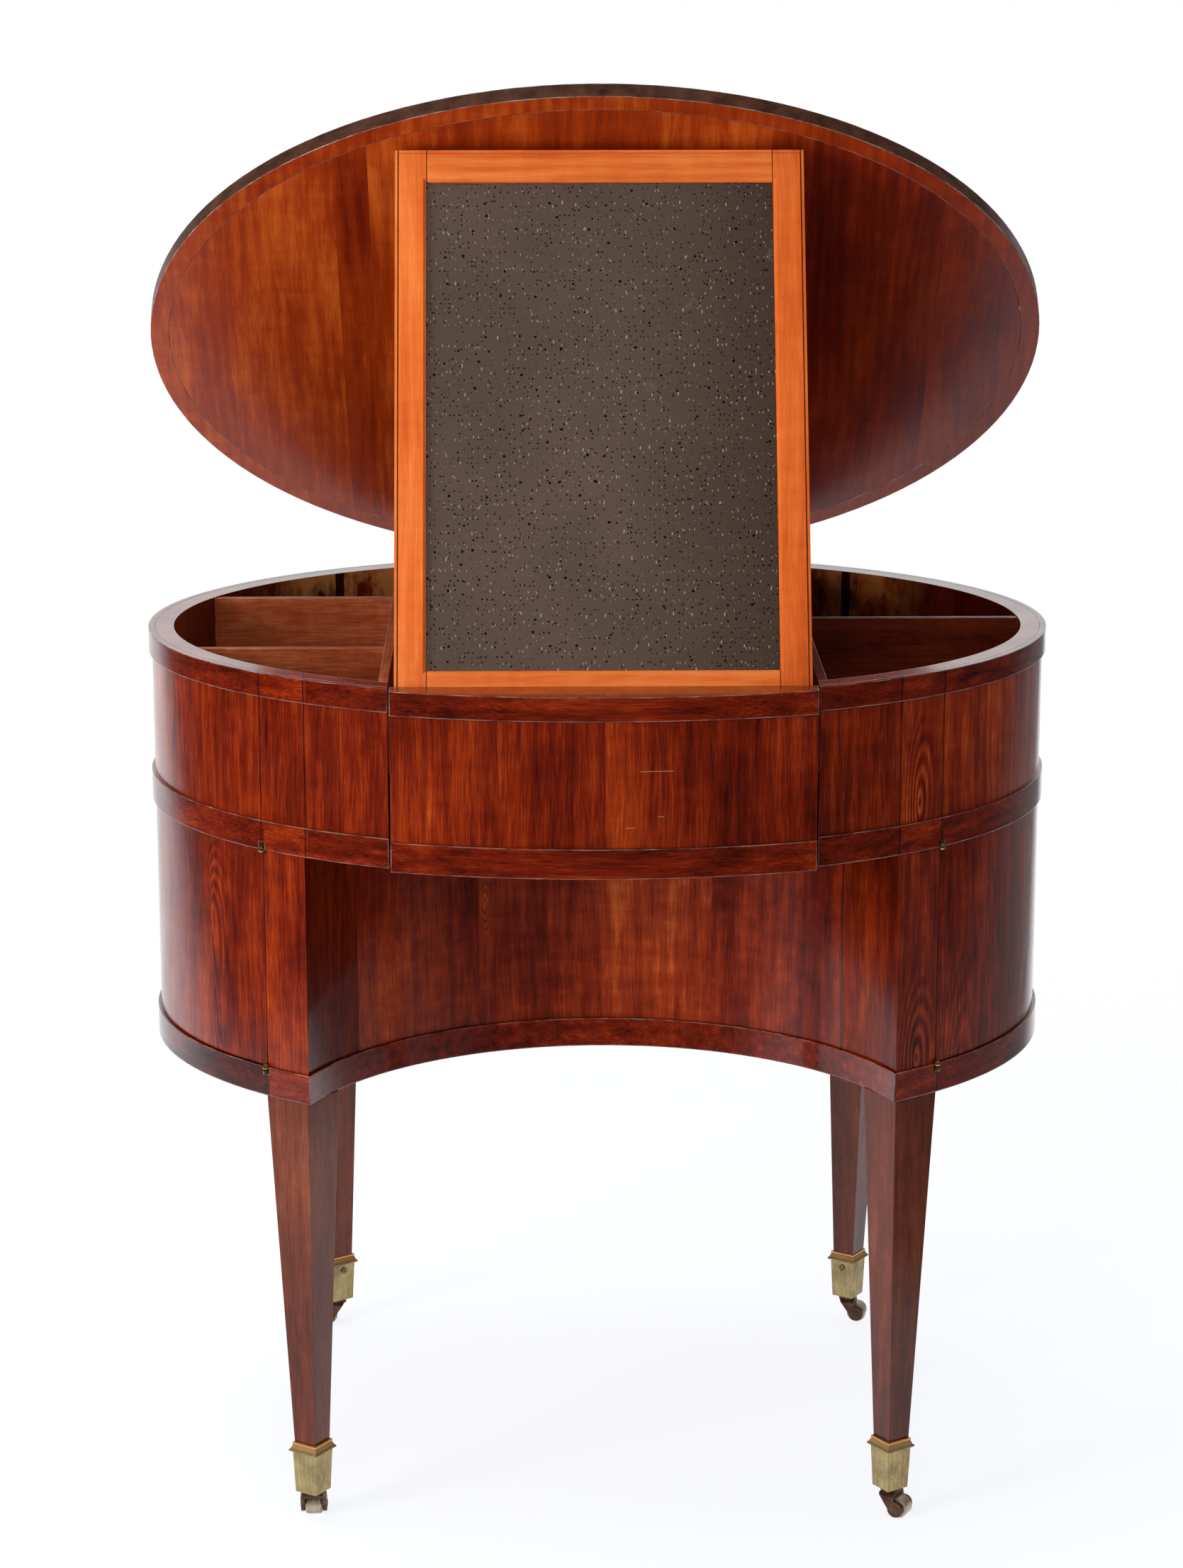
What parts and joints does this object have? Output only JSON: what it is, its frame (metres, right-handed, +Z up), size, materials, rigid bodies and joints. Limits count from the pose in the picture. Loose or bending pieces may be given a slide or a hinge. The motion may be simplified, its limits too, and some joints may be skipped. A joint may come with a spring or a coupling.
{
  "type": "dressing table",
  "caption": "Oval kneehole dressing table on square tapered legs with castors: lift-up lid over a divided top, mirror hinged under the lid, bow-fronted drawer, curved cupboard doors.",
  "frame": {"origin": "on the floor, under the middle of the table as it stands with its lid raised", "axes": "+Z up, +X to the sitter's right, +Y away from the sitter; the drawer opens along -Y"},
  "size_m": [0.823, 0.6734, 1.2694],
  "materials": {
    "mahogany": "french polished, semi gloss",
    "band_mahogany": "french polished, semi gloss",
    "inner_mahogany": "thinly polished, dull",
    "drawer_wood": "bare, aged",
    "brass": "old, dull and rubbed",
    "wheel_brass": "worn bright on the tread",
    "horn_iron": "dark, rusty brown",
    "screw_steel": "browned",
    "old_mirror": "old silvering, foxed"
  },
  "bodies": {
    "carcase": {"base_band_strip": "band_mahogany", "base_board": "mahogany", "kneehole_wall": "mahogany", "left_back_castor_socket": "brass", "left_back_leg": "mahogany", "left_back_post": "mahogany", "left_dividers": "inner_mahogany", "left_front_castor_socket": "brass", "left_front_leg": "mahogany", "left_front_post": "mahogany", "left_partition": "inner_mahogany", "lower_back_wall": "mahogany", "mid_band_strip": "band_mahogany", "mid_board_panel": "inner_mahogany", "mirror_ledge": "inner_mahogany", "pivot_eyes": "brass", "right_back_castor_socket": "brass", "right_back_leg": "mahogany", "right_back_post": "mahogany", "right_divider": "inner_mahogany", "right_front_castor_socket": "brass", "right_front_leg": "mahogany", "right_front_post": "mahogany", "right_partition": "inner_mahogany", "rim_band_strip": "band_mahogany", "rim_hinge_leaves": "brass", "socket_screws": "screw_steel", "upper_wall": "mahogany", "well_floor_board": "inner_mahogany"},
    "lid": {"lid_panel": "mahogany", "lid_lipping_strip": "band_mahogany", "lid_hinge_leaves": "brass", "mirror_carrier_leaves": "brass"},
    "mirror": {"mirror_left_stile": "mahogany", "mirror_right_stile": "mahogany", "mirror_bottom_rail": "mahogany", "mirror_top_rail": "mahogany", "mirror_glass": "old_mirror", "mirror_back_board": "drawer_wood", "mirror_hinge_leaves": "brass"},
    "drawer": {"drawer_front": "mahogany", "drawer_mid_strip": "band_mahogany", "drawer_rim_strip": "band_mahogany", "drawer_left_side": "drawer_wood", "drawer_right_side": "drawer_wood", "drawer_back_piece": "drawer_wood", "drawer_bottom_board": "drawer_wood"},
    "left_door": {"left_door": "mahogany", "left_door_pivots": "brass"},
    "right_door": {"right_door": "mahogany", "right_door_pivots": "brass"},
    "left_front_horn": {"left_front_castor_horn": "horn_iron"},
    "left_front_wheel": {"left_front_castor_wheel": "wheel_brass"},
    "right_front_horn": {"right_front_castor_horn": "horn_iron"},
    "right_front_wheel": {"right_front_castor_wheel": "wheel_brass"},
    "left_back_horn": {"left_back_castor_horn": "horn_iron"},
    "left_back_wheel": {"left_back_castor_wheel": "wheel_brass"},
    "right_back_horn": {"right_back_castor_horn": "horn_iron"},
    "right_back_wheel": {"right_back_castor_wheel": "wheel_brass"}
  },
  "joints": [
    {"name": "lid_hinge", "type": "hinge", "parent": "carcase", "child": "lid", "pos_m": [0, 0.32526, 0.77825], "axis": [-1, 0, 0], "range_deg": [0, 48]},
    {"name": "mirror_fold", "type": "hinge", "parent": "lid", "child": "mirror", "pos_m": [0, -0.07195, 1.19914], "axis": [1, 0, 0], "range_deg": [0, 66]},
    {"name": "drawer_slide", "type": "slide", "parent": "carcase", "child": "drawer", "axis": [0, -1, 0], "range_m": [0, 0.26]},
    {"name": "left_door_hinge", "type": "hinge", "parent": "carcase", "child": "left_door", "pos_m": [-0.296, -0.2307, 0.423], "axis": [0, 0, 1], "range_deg": [0, 110]},
    {"name": "right_door_hinge", "type": "hinge", "parent": "carcase", "child": "right_door", "pos_m": [0.296, -0.2307, 0.423], "axis": [0, 0, -1], "range_deg": [0, 110]},
    {"name": "left_front_swivel", "type": "hinge", "parent": "carcase", "child": "left_front_horn", "pos_m": [-0.26044, -0.24183, 0.027], "axis": [0, 0, 1], "continuous": true},
    {"name": "left_front_roll", "type": "hinge", "parent": "left_front_horn", "child": "left_front_wheel", "pos_m": [-0.26044, -0.23183, 0.0095], "axis": [-1, 0, 0], "continuous": true},
    {"name": "right_front_swivel", "type": "hinge", "parent": "carcase", "child": "right_front_horn", "pos_m": [0.26044, -0.24183, 0.027], "axis": [0, 0, 1], "continuous": true},
    {"name": "right_front_roll", "type": "hinge", "parent": "right_front_horn", "child": "right_front_wheel", "pos_m": [0.2691, -0.24683, 0.0095], "axis": [0.5, 0.866, 0], "continuous": true},
    {"name": "left_back_swivel", "type": "hinge", "parent": "carcase", "child": "left_back_horn", "pos_m": [-0.26044, 0.23436, 0.027], "axis": [0, 0, 1], "continuous": true},
    {"name": "left_back_roll", "type": "hinge", "parent": "left_back_horn", "child": "left_back_wheel", "pos_m": [-0.27044, 0.23436, 0.0095], "axis": [0, -1, 0], "continuous": true},
    {"name": "right_back_swivel", "type": "hinge", "parent": "carcase", "child": "right_back_horn", "pos_m": [0.26044, 0.23436, 0.027], "axis": [0, 0, 1], "continuous": true},
    {"name": "right_back_roll", "type": "hinge", "parent": "right_back_horn", "child": "right_back_wheel", "pos_m": [0.27022, 0.23228, 0.0095], "axis": [0.2079, 0.9781, 0], "continuous": true}
  ]
}
